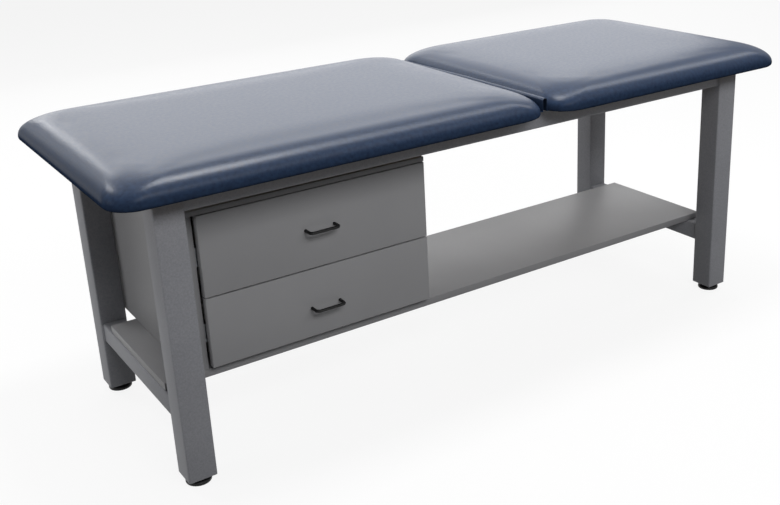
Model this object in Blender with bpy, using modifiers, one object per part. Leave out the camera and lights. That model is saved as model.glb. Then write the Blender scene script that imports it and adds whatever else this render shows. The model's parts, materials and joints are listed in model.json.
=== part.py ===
# Treatment table: a steel leg frame with a shelf and a two-drawer cabinet, under a
# padded top in two sections. The shorter section is a backrest that lifts on hinges
# and is held by a plunger in a drilled plate.
# Metres, +Z up. +X runs to the backrest end and -Y to the drawer side. The origin is
# on the floor under the middle of the padded top.

import math

import bmesh
import bpy
import numpy as np
from mathutils import Matrix, Vector

# Clearances: faces that touch, parts that slide in one another, pins in their holes.
FIT_GAP = 0.0003
SLIDING_GAP = 0.0004
PIN_GAP = 0.0002

# Padded top. The roll is the long rounded edge, the tuck the drawn-in underside.
PAD_LENGTH = 1.961
PAD_WIDTH = 0.772
PAD_THICKNESS = 0.0567
PAD_CORNER_RADIUS = 0.066
TOP_CORNER_RADIUS = 0.115
ROLL_WIDTH = 0.070
TUCK_WIDTH = 0.006
TUCK_HEIGHT = 0.0025
SIDE_BAND = 0.001
PAD_CROWN = 0.003
CROWN_STEP = 0.025
CROWN_SHARES = (0.5, 0.83, 1.0)
BOARD_THICKNESS = 0.019
BOARD_INSET = 0.022

# The split between the two sections, and the vinyl strip folded over it.
SPLIT_X = 0.127
SPLIT_GAP = 0.022
BRIDGE_THICKNESS = 0.0016
BRIDGE_WIDTH = 0.015
BRIDGE_DROP = 0.013
BRIDGE_END_SETBACK = 0.045

# Leg frame.
END_OVERHANG = 0.1035
SIDE_OVERHANG = 0.0805
FRAME_HEIGHT = 0.703
FRAME_SETBACK = 0.005
LEG_SIZE = 0.068
LEG_WALL = 0.003
LEG_CORNER_RADIUS = 0.004
END_PLATE = 0.006
RAIL_HEIGHT = 0.052
RAIL_THICKNESS = 0.038
TUBE_WALL = 0.0025
TUBE_CORNER_RADIUS = 0.004
CROSS_BAR_WIDTH = 0.038
CROSS_BAR_HEIGHT = 0.025
CROSS_BAR_GAP = 0.006
STRETCHER_HEIGHT = 0.050

# Levelling feet.
FOOT_HEIGHT = 0.018
FOOT_DIAMETER = 0.060
FOOT_RIM = 0.007
FOOT_NECK_DIAMETER = 0.034
FOOT_EDGE = 0.0015
STEM_DIAMETER = 0.010
STEM_LENGTH = 0.045

# Shelf and cabinet.
SHELF_TOP = 0.2244
SHELF_LEFT_SETBACK = 0.008
SHELF_RIGHT_SETBACK = 0.014
SHELF_FRONT_SETBACK = 0.1055
SHELF_BACK_SETBACK = 0.1305
PANEL = 0.019
CABINET_WIDTH = 0.644
CABINET_BACK_SETBACK = 0.030
CABINET_TOP = 0.012
CABINET_RAIL_GAP = 0.0315
CABINET_LEG_GAP = 0.004
FILLER = 0.0245
BACK_PANEL = 0.006

# Drawers.
DRAWER_FRONT_GAP = 0.0015
DRAWER_LEFT_REVEAL = 0.0035
DRAWER_SHELF_GAP = 0.010
DRAWER_SPLIT = 0.003
DRAWER_TOP_GAP = 0.002
LOWER_FRONT_HEIGHT = 0.172
DRAWER_WALL = 0.012
DRAWER_BOTTOM = 0.006
DRAWER_BOTTOM_RISE = 0.008
DRAWER_SIDE_RISE = 0.020
DRAWER_SIDE_DROP = 0.030
DRAWER_BACK_GAP = 0.0209
SLIDE_WIDTH = 0.0127
SLIDE_HEIGHT = 0.045
SLIDE_BACK_GAP = 0.0227
SLIDE_STEEL = 0.0012
SLIDE_SETBACK = 0.002
PULL_CENTRES = 0.0762
PULL_ROD = 0.008
PULL_PROJECTION = 0.028
PULL_BEND = 0.009
LOWER_PULL_DROP = 0.012

# Hinges of the backrest.
HINGE_LENGTH = 0.180
HINGE_RAIL_GAP = 0.010
HINGE_KNUCKLES = 5
HINGE_LEAF = 0.002
HINGE_LEAF_WIDTH = 0.040
HINGE_BARREL = 0.010
HINGE_PIN = 0.005
HINGE_TAB_IN = 0.0012
HINGE_TAB_OUT = 0.0036

# Index plate and plunger that hold the backrest at its steps.
INDEX_STEP = math.radians(12)
INDEX_STEPS = 6
INDEX_MARGIN = math.radians(8)
INDEX_HOLE_CIRCLE = 0.115
INDEX_PLATE_RADIUS = 0.135
INDEX_PLATE = 0.006
INDEX_FLANGE = 0.004
INDEX_FLANGE_WIDTH = 0.030
INDEX_FLANGE_START = 0.020
INDEX_FLANGE_SETBACK = 0.020
PLUNGER_ROD = 0.008
PLUNGER_TRAVEL = 0.012
PLUNGER_PARK_GAP = 0.0015
PLUNGER_RAIL_GAP = 0.008
KNOB_DIAMETER = 0.030
KNOB_LENGTH = 0.022
KNOB_EDGE = 0.003
BRACKET_PLATE = 0.004
BRACKET_OFFSET = 0.012
BRACKET_LENGTH = 0.052
BRACKET_REACH = 0.014

# Facets of round shapes, and the distance under which loose points are one.
ROUND_STEPS = 24
CORNER_STEPS = 8
BEND_STEPS = 5
ROLL_STEPS = 7
TUCK_STEPS = 3
WELD = 1e-6

# Heights and planes that several pieces share.
pad_bottom = FRAME_HEIGHT + FIT_GAP
pad_left = -PAD_LENGTH / 2
pad_right = PAD_LENGTH / 2
main_end = SPLIT_X - SPLIT_GAP / 2
back_start = SPLIT_X + SPLIT_GAP / 2
hinge_z = pad_bottom + BOARD_THICKNESS / 2
frame_end = PAD_LENGTH / 2 - END_OVERHANG
frame_side = PAD_WIDTH / 2 - SIDE_OVERHANG
leg_x = frame_end - LEG_SIZE / 2
leg_y = frame_side - LEG_SIZE / 2
leg_inner_x = frame_end - LEG_SIZE
leg_inner_y = frame_side - LEG_SIZE
rail_outer_y = frame_side - FRAME_SETBACK
rail_inner_y = rail_outer_y - RAIL_THICKNESS
rail_middle_y = rail_outer_y - RAIL_THICKNESS / 2
end_rail_x = frame_end - FRAME_SETBACK - RAIL_THICKNESS / 2
rail_bottom = FRAME_HEIGHT - RAIL_HEIGHT
shelf_left = -frame_end + SHELF_LEFT_SETBACK
shelf_right = frame_end - SHELF_RIGHT_SETBACK
shelf_front = -frame_side + SHELF_FRONT_SETBACK
shelf_back = frame_side - SHELF_BACK_SETBACK
shelf_bottom = SHELF_TOP - PANEL
cabinet_bottom = SHELF_TOP + FIT_GAP
cabinet_top = rail_bottom - CABINET_RAIL_GAP
cabinet_lid = cabinet_top - CABINET_TOP
panel_top = cabinet_lid - FIT_GAP
cabinet_left = -leg_inner_x + CABINET_LEG_GAP
cabinet_right = cabinet_left + CABINET_WIDTH
cabinet_front = shelf_front
cabinet_back = frame_side - CABINET_BACK_SETBACK
lining_back = cabinet_back - BACK_PANEL - FIT_GAP
filler_left = cabinet_left + PANEL + FIT_GAP
opening_left = filler_left + FILLER
opening_right = cabinet_right - PANEL
drawer_face_back = cabinet_front - DRAWER_FRONT_GAP
drawer_face = drawer_face_back - PANEL
lower_front_bottom = SHELF_TOP + DRAWER_SHELF_GAP
upper_front_bottom = lower_front_bottom + LOWER_FRONT_HEIGHT + DRAWER_SPLIT
upper_front_height = cabinet_lid - DRAWER_TOP_GAP - upper_front_bottom
plunger_z = rail_bottom - PLUNGER_RAIL_GAP - PLUNGER_ROD / 2
index_rest = -math.asin((hinge_z - plunger_z) / INDEX_HOLE_CIRCLE)
plunger_x = SPLIT_X + INDEX_HOLE_CIRCLE * math.cos(index_rest)
support_bar_x = SPLIT_X + INDEX_PLATE_RADIUS + CROSS_BAR_GAP + CROSS_BAR_WIDTH / 2
split_bar_x = SPLIT_X - HINGE_LEAF_WIDTH - CROSS_BAR_GAP - CROSS_BAR_WIDTH / 2

for old in list(bpy.data.objects):
    bpy.data.objects.remove(old)
parts = bpy.data.collections.new("treatment_table")
cutters = bpy.data.collections.new("cutters")
bpy.context.scene.collection.children.link(parts)
bpy.context.scene.collection.children.link(cutters)


def material(name, colour, roughness, metallic=0.0):
    made = bpy.data.materials.new(name)
    made.use_nodes = True
    shader = made.node_tree.nodes["Principled BSDF"]
    shader.inputs["Base Color"].default_value = (*colour, 1.0)
    shader.inputs["Roughness"].default_value = roughness
    shader.inputs["Metallic"].default_value = metallic
    return made


navy_vinyl = material("navy_vinyl", (0.035, 0.05, 0.10), 0.35)
plywood = material("plywood", (0.52, 0.37, 0.22), 0.6)
grey_powder_coat = material("grey_powder_coat", (0.17, 0.17, 0.18), 0.55)
grey_laminate = material("grey_laminate", (0.19, 0.19, 0.20), 0.5)
drawer_board = material("drawer_board", (0.62, 0.62, 0.60), 0.55)
black_metal = material("black_metal", (0.012, 0.012, 0.013), 0.4)
black_plastic = material("black_plastic", (0.015, 0.015, 0.016), 0.55)
zinc_steel = material("zinc_steel", (0.55, 0.56, 0.58), 0.35, 1.0)


def add(name, data, finish, location=(0.0, 0.0, 0.0), parent=None):
    made = bpy.data.objects.new(name, data)
    parts.objects.link(made)
    if not data.materials:
        data.materials.append(finish)
    made.location = location
    if parent:
        made.parent = parent
        made.location -= parent.location
    return made


def pivot(name, location):
    made = bpy.data.objects.new(name, None)
    parts.objects.link(made)
    made.location = location
    return made


def tool(name, data, location, turn=(0.0, 0.0, 0.0)):
    made = bpy.data.objects.new(name, data)
    cutters.objects.link(made)
    made.location = location
    made.rotation_euler = turn
    made.hide_render = True
    made.display_type = "WIRE"
    return made


def combine(part, other, operation):
    change = part.modifiers.new(other.name, "BOOLEAN")
    change.object = other
    change.operation = operation


def mesh_of(name, shell):
    mesh = bpy.data.meshes.new(name)
    shell.to_mesh(mesh)
    shell.free()
    return mesh


def round_edges(shell, edges, radius, steps):
    bmesh.ops.bevel(
        shell, geom=edges, offset=radius, segments=steps, profile=0.5,
        affect="EDGES", clamp_overlap=False, material=-1,
    )


def upright_edges(shell):
    return [
        edge for edge in shell.edges
        if (edge.verts[0].co - edge.verts[1].co).to_2d().length < WELD
    ]


def face_at(shell, height):
    flat = [
        face for face in shell.faces
        if all(abs(vert.co.z - height) < WELD for vert in face.verts)
    ]
    return max(flat, key=lambda face: face.calc_area())


def block_mesh(name, size, corner_radius=0.0):
    shell = bmesh.new()
    bmesh.ops.create_cube(shell, size=1.0, matrix=Matrix.Diagonal((*size, 1.0)))
    if corner_radius:
        round_edges(shell, upright_edges(shell), corner_radius, CORNER_STEPS)
    return mesh_of(name, shell)


def block(name, low, high, finish, parent=None, corner_radius=0.0):
    low = Vector(low)
    high = Vector(high)
    return add(name, block_mesh(name, high - low, corner_radius), finish, (low + high) / 2, parent)


def cylinder_mesh(name, diameter, length):
    shell = bmesh.new()
    bmesh.ops.create_cone(
        shell, cap_ends=True, segments=ROUND_STEPS,
        radius1=diameter / 2, radius2=diameter / 2, depth=length,
    )
    return mesh_of(name, shell)


def turned(name, profile, finish, location, turn=(0.0, 0.0, 0.0)):
    mesh = bpy.data.meshes.new(name)
    mesh.from_pydata(
        [(radius, 0.0, height) for radius, height in profile],
        [(step, step + 1) for step in range(len(profile) - 1)],
        [],
    )
    made = add(name, mesh, finish, location)
    made.rotation_euler = turn
    spin = made.modifiers.new("spin", "SCREW")
    spin.steps = ROUND_STEPS
    spin.render_steps = ROUND_STEPS
    spin.use_merge_vertices = True
    spin.merge_threshold = 1e-5
    return made


def arc(centre, radius, start, end, steps):
    angles = np.linspace(start, end, steps + 1)
    return [
        (centre[0] + radius * math.cos(angle), centre[1] + radius * math.sin(angle))
        for angle in angles
    ]


def circle(centre, radius):
    return arc(centre, radius, 0.0, math.tau, ROUND_STEPS)[:-1]


def rounded_rectangle(width, height, radius):
    points = []
    corners = ((1, 1, 0.0), (-1, 1, 0.5), (-1, -1, 1.0), (1, -1, 1.5))
    for side_x, side_y, turns in corners:
        centre = (side_x * (width / 2 - radius), side_y * (height / 2 - radius))
        start = turns * math.pi
        points += arc(centre, radius, start, start + math.pi / 2, BEND_STEPS)
    return points


def outline_curve(name, outlines, depth):
    curve = bpy.data.curves.new(name, "CURVE")
    curve.dimensions = "2D"
    curve.fill_mode = "BOTH"
    curve.extrude = depth / 2
    for points in outlines:
        spline = curve.splines.new("POLY")
        spline.points.add(len(points) - 1)
        for point, place in zip(spline.points, points):
            point.co = (*place, 0.0, 1.0)
        spline.use_cyclic_u = True
    return curve


# An outline is drawn flat, then turned so that it runs along X or along Y.
ALONG_X = (0.0, math.pi / 2, 0.0)
ALONG_Y = (math.pi / 2, 0.0, 0.0)


def strip(name, outlines, low_y, high_y, finish, parent=None):
    curve = outline_curve(name, outlines, high_y - low_y)
    made = add(name, curve, finish, (0.0, (low_y + high_y) / 2, 0.0), parent)
    made.rotation_euler = ALONG_Y
    return made


def solid_strip(name, outlines, low_y, high_y):
    """A mesh in world space of an outline that runs along Y, for cutting and joining."""
    curve = bpy.data.objects.new(name, outline_curve(name, outlines, high_y - low_y))
    parts.objects.link(curve)
    curve.location = (0.0, (low_y + high_y) / 2, 0.0)
    curve.rotation_euler = ALONG_Y
    bpy.context.view_layer.update()
    graph = bpy.context.evaluated_depsgraph_get()
    mesh = bpy.data.meshes.new_from_object(curve.evaluated_get(graph))
    mesh.transform(curve.matrix_world)
    bpy.data.objects.remove(curve)
    shell = bmesh.new()
    shell.from_mesh(mesh)
    bmesh.ops.remove_doubles(shell, verts=shell.verts, dist=WELD)
    bmesh.ops.recalc_face_normals(shell, faces=shell.faces)
    shell.to_mesh(mesh)
    shell.free()
    mesh.materials.clear()
    return mesh


def tube(name, along, centre, length, width, height, corner_radius=TUBE_CORNER_RADIUS):
    inner_radius = corner_radius - TUBE_WALL
    sizes = ((width, height, corner_radius),)
    sizes += ((width - 2 * TUBE_WALL, height - 2 * TUBE_WALL, inner_radius),)
    if along == ALONG_X:
        sizes = [(high, wide, radius) for wide, high, radius in sizes]
    outlines = [rounded_rectangle(*size) for size in sizes]
    made = add(name, outline_curve(name, outlines, length), grey_powder_coat, centre)
    made.rotation_euler = along
    return made


def leg(name, side_x, side_y):
    centre = Vector((side_x * leg_x, side_y * leg_y, 0.0))
    half = Vector((LEG_SIZE / 2, LEG_SIZE / 2, 0.0))
    low = centre - half + Vector((0.0, 0.0, FOOT_HEIGHT))
    high = centre + half + Vector((0.0, 0.0, FRAME_HEIGHT))
    made = block(name, low, high, grey_powder_coat, corner_radius=LEG_CORNER_RADIUS)
    bore = LEG_SIZE - 2 * LEG_WALL
    floor = FOOT_HEIGHT + END_PLATE
    depth = 2 * (FRAME_HEIGHT - floor)
    hollow = block_mesh(name + "_hollow", (bore, bore, depth), LEG_CORNER_RADIUS - LEG_WALL)
    combine(made, tool(name + "_hollow", hollow, (centre.x, centre.y, FRAME_HEIGHT)), "DIFFERENCE")
    hole = cylinder_mesh(name + "_stem_hole", STEM_DIAMETER + 2 * PIN_GAP, 4 * END_PLATE)
    combine(made, tool(name + "_stem_hole", hole, (centre.x, centre.y, FOOT_HEIGHT)), "DIFFERENCE")


def foot(name, side_x, side_y):
    top = FOOT_HEIGHT - FIT_GAP
    disc = FOOT_DIAMETER / 2
    profile = [
        (0.0, top + STEM_LENGTH),
        (STEM_DIAMETER / 2, top + STEM_LENGTH),
        (STEM_DIAMETER / 2, top),
        (FOOT_NECK_DIAMETER / 2, top),
        (disc - FOOT_EDGE, FOOT_RIM + FOOT_EDGE),
        (disc, FOOT_RIM),
        (disc, FOOT_EDGE),
        (disc - FOOT_EDGE, 0.0),
        (0.0, 0.0),
    ]
    turned(name, profile, black_plastic, (side_x * leg_x, side_y * leg_y, 0.0))


def frame():
    corners = {
        "front_left": (-1, -1), "front_right": (1, -1),
        "back_left": (-1, 1), "back_right": (1, 1),
    }
    for corner, (side_x, side_y) in corners.items():
        leg(corner + "_leg", side_x, side_y)
        foot(corner + "_foot", side_x, side_y)
    rail_z = FRAME_HEIGHT - RAIL_HEIGHT / 2
    between_legs_x = 2 * (leg_inner_x - FIT_GAP)
    between_legs_y = 2 * (leg_inner_y - FIT_GAP)
    between_rails = 2 * (rail_inner_y - FIT_GAP)
    for name, side in (("front_rail", -1), ("back_rail", 1)):
        place = (0.0, side * rail_middle_y, rail_z)
        tube(name, ALONG_X, place, between_legs_x, RAIL_THICKNESS, RAIL_HEIGHT)
    stretcher_width = LEG_SIZE - 2 * FRAME_SETBACK
    stretcher_z = shelf_bottom - FIT_GAP - STRETCHER_HEIGHT / 2
    for end, side in (("left", -1), ("right", 1)):
        place = (side * end_rail_x, 0.0, rail_z)
        tube(end + "_end_rail", ALONG_Y, place, between_legs_y, RAIL_THICKNESS, RAIL_HEIGHT)
        place = (side * leg_x, 0.0, stretcher_z)
        tube(end + "_stretcher", ALONG_Y, place, between_legs_y, stretcher_width, STRETCHER_HEIGHT)
    for name, bar_x in (("split_cross_bar", split_bar_x), ("support_cross_bar", support_bar_x)):
        place = (bar_x, 0.0, FRAME_HEIGHT - CROSS_BAR_HEIGHT / 2)
        tube(name, ALONG_Y, place, between_rails, CROSS_BAR_WIDTH, CROSS_BAR_HEIGHT)


def shelf_and_cabinet():
    low = (shelf_left, shelf_front, shelf_bottom)
    block("shelf", low, (shelf_right, shelf_back, SHELF_TOP), grey_laminate)
    block(
        "cabinet_left_panel",
        (cabinet_left, cabinet_front, cabinet_bottom),
        (cabinet_left + PANEL, cabinet_back, panel_top),
        grey_laminate,
    )
    block(
        "cabinet_right_panel",
        (opening_right, cabinet_front, cabinet_bottom),
        (cabinet_right, cabinet_back, panel_top),
        grey_laminate,
    )
    inner_left = cabinet_left + PANEL + FIT_GAP
    inner_right = opening_right - FIT_GAP
    block(
        "cabinet_top_panel",
        (cabinet_left, drawer_face, cabinet_lid),
        (cabinet_right, cabinet_back, cabinet_top),
        grey_laminate,
    )
    block(
        "cabinet_back_panel",
        (inner_left, cabinet_back - BACK_PANEL, cabinet_bottom),
        (inner_right, cabinet_back, panel_top),
        grey_laminate,
    )
    block(
        "cabinet_filler",
        (filler_left, cabinet_front, cabinet_bottom),
        (opening_left, lining_back, panel_top),
        grey_laminate,
    )


def channel(web, tip, low, high):
    """A C section from its web to its two flange tips."""
    steel = math.copysign(SLIDE_STEEL, tip - web)
    return [
        (web, low), (tip, low), (tip, low + SLIDE_STEEL), (web + steel, low + SLIDE_STEEL),
        (web + steel, high - SLIDE_STEEL), (tip, high - SLIDE_STEEL), (tip, high), (web, high),
    ]


def slide(name, panel_x, side, middle_z, runner, carriage):
    """Three nested channels from the cabinet wall to the drawer wall, on one side of a drawer."""
    step = SLIDE_STEEL + SLIDING_GAP
    drawer_web = SLIDE_WIDTH - FIT_GAP
    middle_tip = drawer_web - step
    members = (
        ("cabinet", FIT_GAP, middle_tip - step, 0, None),
        ("middle", FIT_GAP + step, middle_tip, 1, runner),
        ("drawer", drawer_web, FIT_GAP + 2 * step, 2, carriage),
    )
    low_y = cabinet_front + SLIDE_SETBACK
    high_y = lining_back - SLIDE_BACK_GAP
    for member, web, tip, inside, parent in members:
        half = SLIDE_HEIGHT / 2 - inside * step
        points = channel(panel_x + side * web, panel_x + side * tip, middle_z - half, middle_z + half)
        strip(f"{name}_slide_{member}", [points], low_y, high_y, zinc_steel, parent)


def pull(name, centre_x, centre_z, parent):
    base = drawer_face - FIT_GAP
    front = drawer_face - PULL_PROJECTION
    half = PULL_CENTRES / 2
    bend_y = front + PULL_BEND
    route = [(centre_x - half, base)]
    route += arc((centre_x - half + PULL_BEND, bend_y), PULL_BEND, math.pi, 1.5 * math.pi, BEND_STEPS)
    route += arc((centre_x + half - PULL_BEND, bend_y), PULL_BEND, -0.5 * math.pi, 0.0, BEND_STEPS)
    route += [(centre_x + half, base)]
    curve = bpy.data.curves.new(name, "CURVE")
    curve.dimensions = "3D"
    curve.bevel_depth = PULL_ROD / 2
    curve.bevel_resolution = 2
    curve.use_fill_caps = True
    spline = curve.splines.new("POLY")
    spline.points.add(len(route) - 1)
    for point, (x, y) in zip(spline.points, route):
        point.co = (x, y, centre_z, 1.0)
    add(name, curve, black_metal, parent=parent)


def drawer(name, front_bottom, front_height, pull_drop):
    front_left = opening_left + DRAWER_LEFT_REVEAL
    middle_x = (front_left + cabinet_right) / 2
    middle_z = front_bottom + front_height / 2
    carriage = pivot(name + "_drawer_travel", (middle_x, drawer_face, middle_z))
    runner = pivot(name + "_runner_travel", (middle_x, drawer_face, middle_z))
    block(
        name + "_drawer_front",
        (front_left, drawer_face, front_bottom),
        (cabinet_right, drawer_face_back, front_bottom + front_height),
        grey_laminate, carriage,
    )
    box_left = opening_left + SLIDE_WIDTH
    box_right = opening_right - SLIDE_WIDTH
    box_front = drawer_face_back + FIT_GAP
    box_back = lining_back - DRAWER_BACK_GAP
    box_low = front_bottom + DRAWER_SIDE_RISE
    box_high = front_bottom + front_height - DRAWER_SIDE_DROP
    block(
        name + "_drawer_left_side",
        (box_left, box_front, box_low), (box_left + DRAWER_WALL, box_back, box_high),
        drawer_board, carriage,
    )
    block(
        name + "_drawer_right_side",
        (box_right - DRAWER_WALL, box_front, box_low), (box_right, box_back, box_high),
        drawer_board, carriage,
    )
    inner_left = box_left + DRAWER_WALL + FIT_GAP
    inner_right = box_right - DRAWER_WALL - FIT_GAP
    block(
        name + "_drawer_back",
        (inner_left, box_back - DRAWER_WALL, box_low), (inner_right, box_back, box_high),
        drawer_board, carriage,
    )
    floor = box_low + DRAWER_BOTTOM_RISE
    block(
        name + "_drawer_bottom",
        (inner_left, box_front, floor),
        (inner_right, box_back - DRAWER_WALL - FIT_GAP, floor + DRAWER_BOTTOM),
        drawer_board, carriage,
    )
    pull(name + "_drawer_pull", middle_x, middle_z - pull_drop, carriage)
    slide_z = (box_low + box_high) / 2
    slide(name + "_left", opening_left, 1, slide_z, runner, carriage)
    slide(name + "_right", opening_right, -1, slide_z, runner, carriage)


def rolled_edge(width, height, steps):
    """Insets and heights of a quarter ellipse, from the widest line of an edge to its flat face."""
    angles = np.linspace(0.0, math.pi / 2, steps + 1)
    return [(width * (1 - math.cos(angle)), height * math.sin(angle)) for angle in angles]


def grow(shell, face, half, rings):
    """Builds an edge out from a flat face. A ring is its inset, its corner radius and its height."""
    for (inset, radius, _), (next_inset, next_radius, height) in zip(rings, rings[1:]):
        face = bmesh.ops.extrude_discrete_faces(shell, faces=[face])["faces"][0]
        for vert in face.verts:
            corner = Vector((math.copysign(1.0, vert.co.x), math.copysign(1.0, vert.co.y)))
            centre = corner * (half - (inset + radius) * Vector((1.0, 1.0)))
            next_centre = corner * (half - (next_inset + next_radius) * Vector((1.0, 1.0)))
            place = next_centre + (vert.co.xy - centre) * next_radius / radius
            vert.co = (*place, height)


def pad(name, left, right, parent=None):
    """A cushion with a long rolled edge, a tucked underside, a crowned top and a board pocket."""
    shell = bmesh.new()
    half = Vector(((right - left) / 2, PAD_WIDTH / 2))
    band_top = TUCK_HEIGHT + SIDE_BAND
    lift = Matrix.Translation((0.0, 0.0, TUCK_HEIGHT + SIDE_BAND / 2))
    size = Matrix.Diagonal((*(2 * half), SIDE_BAND, 1.0))
    bmesh.ops.create_cube(shell, size=1.0, matrix=lift @ size)
    round_edges(shell, upright_edges(shell), PAD_CORNER_RADIUS, CORNER_STEPS)
    corner_growth = (TOP_CORNER_RADIUS - PAD_CORNER_RADIUS) / ROLL_WIDTH
    upper = [
        (inset, PAD_CORNER_RADIUS + corner_growth * inset, band_top + height)
        for inset, height in rolled_edge(ROLL_WIDTH, PAD_THICKNESS - band_top, ROLL_STEPS)
    ]
    for step, share in enumerate(CROWN_SHARES, 1):
        inset = step * CROWN_STEP
        upper.append((ROLL_WIDTH + inset, TOP_CORNER_RADIUS - inset, PAD_THICKNESS + PAD_CROWN * share))
    grow(shell, face_at(shell, band_top), half, upper)
    lower = [
        (inset, PAD_CORNER_RADIUS - inset, TUCK_HEIGHT - height)
        for inset, height in rolled_edge(TUCK_WIDTH, TUCK_HEIGHT, TUCK_STEPS)
    ]
    pocket_radius = PAD_CORNER_RADIUS - BOARD_INSET
    lower.append((BOARD_INSET, pocket_radius, 0.0))
    lower.append((BOARD_INSET, pocket_radius, BOARD_THICKNESS + FIT_GAP))
    grow(shell, face_at(shell, TUCK_HEIGHT), half, lower)
    mesh = mesh_of(name, shell)
    mesh.shade_smooth()
    mesh.set_sharp_from_angle(angle=math.radians(40))
    add(name, mesh, navy_vinyl, ((left + right) / 2, 0.0, pad_bottom), parent)


def board(name, left, right, parent=None):
    inset = BOARD_INSET + FIT_GAP
    half = PAD_WIDTH / 2 - inset
    low = (left + inset, -half, pad_bottom)
    high = (right - inset, half, pad_bottom + BOARD_THICKNESS)
    block(name, low, high, plywood, parent, PAD_CORNER_RADIUS - inset)


def vinyl_bridge():
    """The strip between the two sections: an inverted U with a foot against each cushion."""
    foot_x = SPLIT_GAP / 2 - FIT_GAP
    foot_z = pad_bottom + TUCK_HEIGHT
    outer = BRIDGE_WIDTH / 2
    inner = outer - BRIDGE_THICKNESS
    crown_z = pad_bottom + PAD_THICKNESS - BRIDGE_DROP - outer
    points = [(foot_x, foot_z), (foot_x, foot_z + BRIDGE_THICKNESS), (outer, foot_z + BRIDGE_THICKNESS)]
    points += arc((0.0, crown_z), outer, 0.0, math.pi, 2 * BEND_STEPS)
    points += [(-outer, foot_z + BRIDGE_THICKNESS), (-foot_x, foot_z + BRIDGE_THICKNESS), (-foot_x, foot_z)]
    points += [(-inner, foot_z)]
    points += arc((0.0, crown_z), inner, math.pi, 0.0, 2 * BEND_STEPS)
    points += [(inner, foot_z)]
    points = [(SPLIT_X + x, z) for x, z in points]
    half = PAD_WIDTH / 2 - BRIDGE_END_SETBACK
    strip("vinyl_bridge", [points], -half, half, navy_vinyl)


def hinge_leaf(name, side, low_y, knuckles, parent=None):
    top = pad_bottom - FIT_GAP
    near = SPLIT_X + side * HINGE_TAB_IN
    far = SPLIT_X + side * HINGE_LEAF_WIDTH
    leaf = block(
        name,
        (min(near, far), low_y, top - HINGE_LEAF),
        (max(near, far), low_y + HINGE_LENGTH, top),
        zinc_steel, parent,
    )
    barrel = HINGE_BARREL / 2
    inner = side * HINGE_TAB_IN
    outer = side * HINGE_TAB_OUT
    tab_bottom = top - HINGE_LEAF / 2
    start = math.atan2(-math.sqrt(barrel ** 2 - HINGE_TAB_OUT ** 2), outer)
    end = math.atan2(-math.sqrt(barrel ** 2 - HINGE_TAB_IN ** 2), inner)
    sweep = math.tau - abs(end - start)
    ring = arc((0.0, 0.0), barrel, start, start + side * sweep, ROUND_STEPS)
    outline = [(SPLIT_X + x, hinge_z + z) for x, z in ring]
    outline += [(SPLIT_X + inner, tab_bottom), (SPLIT_X + outer, tab_bottom)]
    bore = circle((SPLIT_X, hinge_z), HINGE_PIN / 2 + PIN_GAP)
    pitch = HINGE_LENGTH / HINGE_KNUCKLES
    for index in knuckles:
        low = low_y + index * pitch + SLIDING_GAP / 2
        knuckle = solid_strip(f"{name}_knuckle_{index}", [outline, bore], low, low + pitch - SLIDING_GAP)
        combine(leaf, tool(f"{name}_knuckle_{index}", knuckle, (0.0, 0.0, 0.0)), "UNION")


def hinge(name, low_y, backrest):
    hinge_leaf(name + "_leaf_main", -1, low_y, range(0, HINGE_KNUCKLES, 2))
    hinge_leaf(name + "_leaf_back", 1, low_y, range(1, HINGE_KNUCKLES, 2), backrest)
    pin = cylinder_mesh(name + "_pin", HINGE_PIN, HINGE_LENGTH)
    made = add(name + "_pin", pin, zinc_steel, (SPLIT_X, low_y + HINGE_LENGTH / 2, hinge_z))
    made.rotation_euler = ALONG_Y


def index_plate(backrest):
    """The drilled sector under the backrest. Its holes meet the plunger one step at a time."""
    flange_top = pad_bottom - FIT_GAP
    flange_end = SPLIT_X + INDEX_PLATE_RADIUS - INDEX_FLANGE_SETBACK
    flange_start = SPLIT_X + INDEX_FLANGE_START
    axis = (SPLIT_X, hinge_z)
    first = index_rest + INDEX_MARGIN
    last = index_rest - INDEX_STEPS * INDEX_STEP - INDEX_MARGIN
    web_top = flange_top - INDEX_FLANGE / 2
    outline = [(flange_start, web_top), (flange_end, web_top)]
    outline += arc(axis, INDEX_PLATE_RADIUS, first, last, ROUND_STEPS)
    holes = []
    for step in range(INDEX_STEPS + 1):
        angle = index_rest - step * INDEX_STEP
        centre = (
            SPLIT_X + INDEX_HOLE_CIRCLE * math.cos(angle),
            hinge_z + INDEX_HOLE_CIRCLE * math.sin(angle),
        )
        holes.append(circle(centre, PLUNGER_ROD / 2 + PIN_GAP))
    flange = block(
        "index_plate",
        (flange_start, -INDEX_FLANGE_WIDTH / 2, flange_top - INDEX_FLANGE),
        (flange_end, INDEX_FLANGE_WIDTH / 2, flange_top),
        zinc_steel, backrest,
    )
    sector = solid_strip("index_sector", [outline, *holes], -INDEX_PLATE / 2, INDEX_PLATE / 2)
    combine(flange, tool("index_sector", sector, (0.0, 0.0, 0.0)), "UNION")


def index_plunger():
    tip_y = INDEX_PLATE / 2 + PLUNGER_PARK_GAP
    knob_y = rail_outer_y + PLUNGER_TRAVEL + PLUNGER_PARK_GAP
    rod = PLUNGER_ROD / 2
    knob = KNOB_DIAMETER / 2
    length = knob_y + KNOB_LENGTH - tip_y
    neck = knob_y - tip_y
    profile = [
        (0.0, length), (knob - KNOB_EDGE, length), (knob, length - KNOB_EDGE),
        (knob, neck + KNOB_EDGE), (knob - KNOB_EDGE, neck), (rod, neck), (rod, 0.0), (0.0, 0.0),
    ]
    back_along_y = (-math.pi / 2, 0.0, 0.0)
    turned("index_plunger", profile, black_metal, (plunger_x, tip_y, plunger_z), back_along_y)


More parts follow.
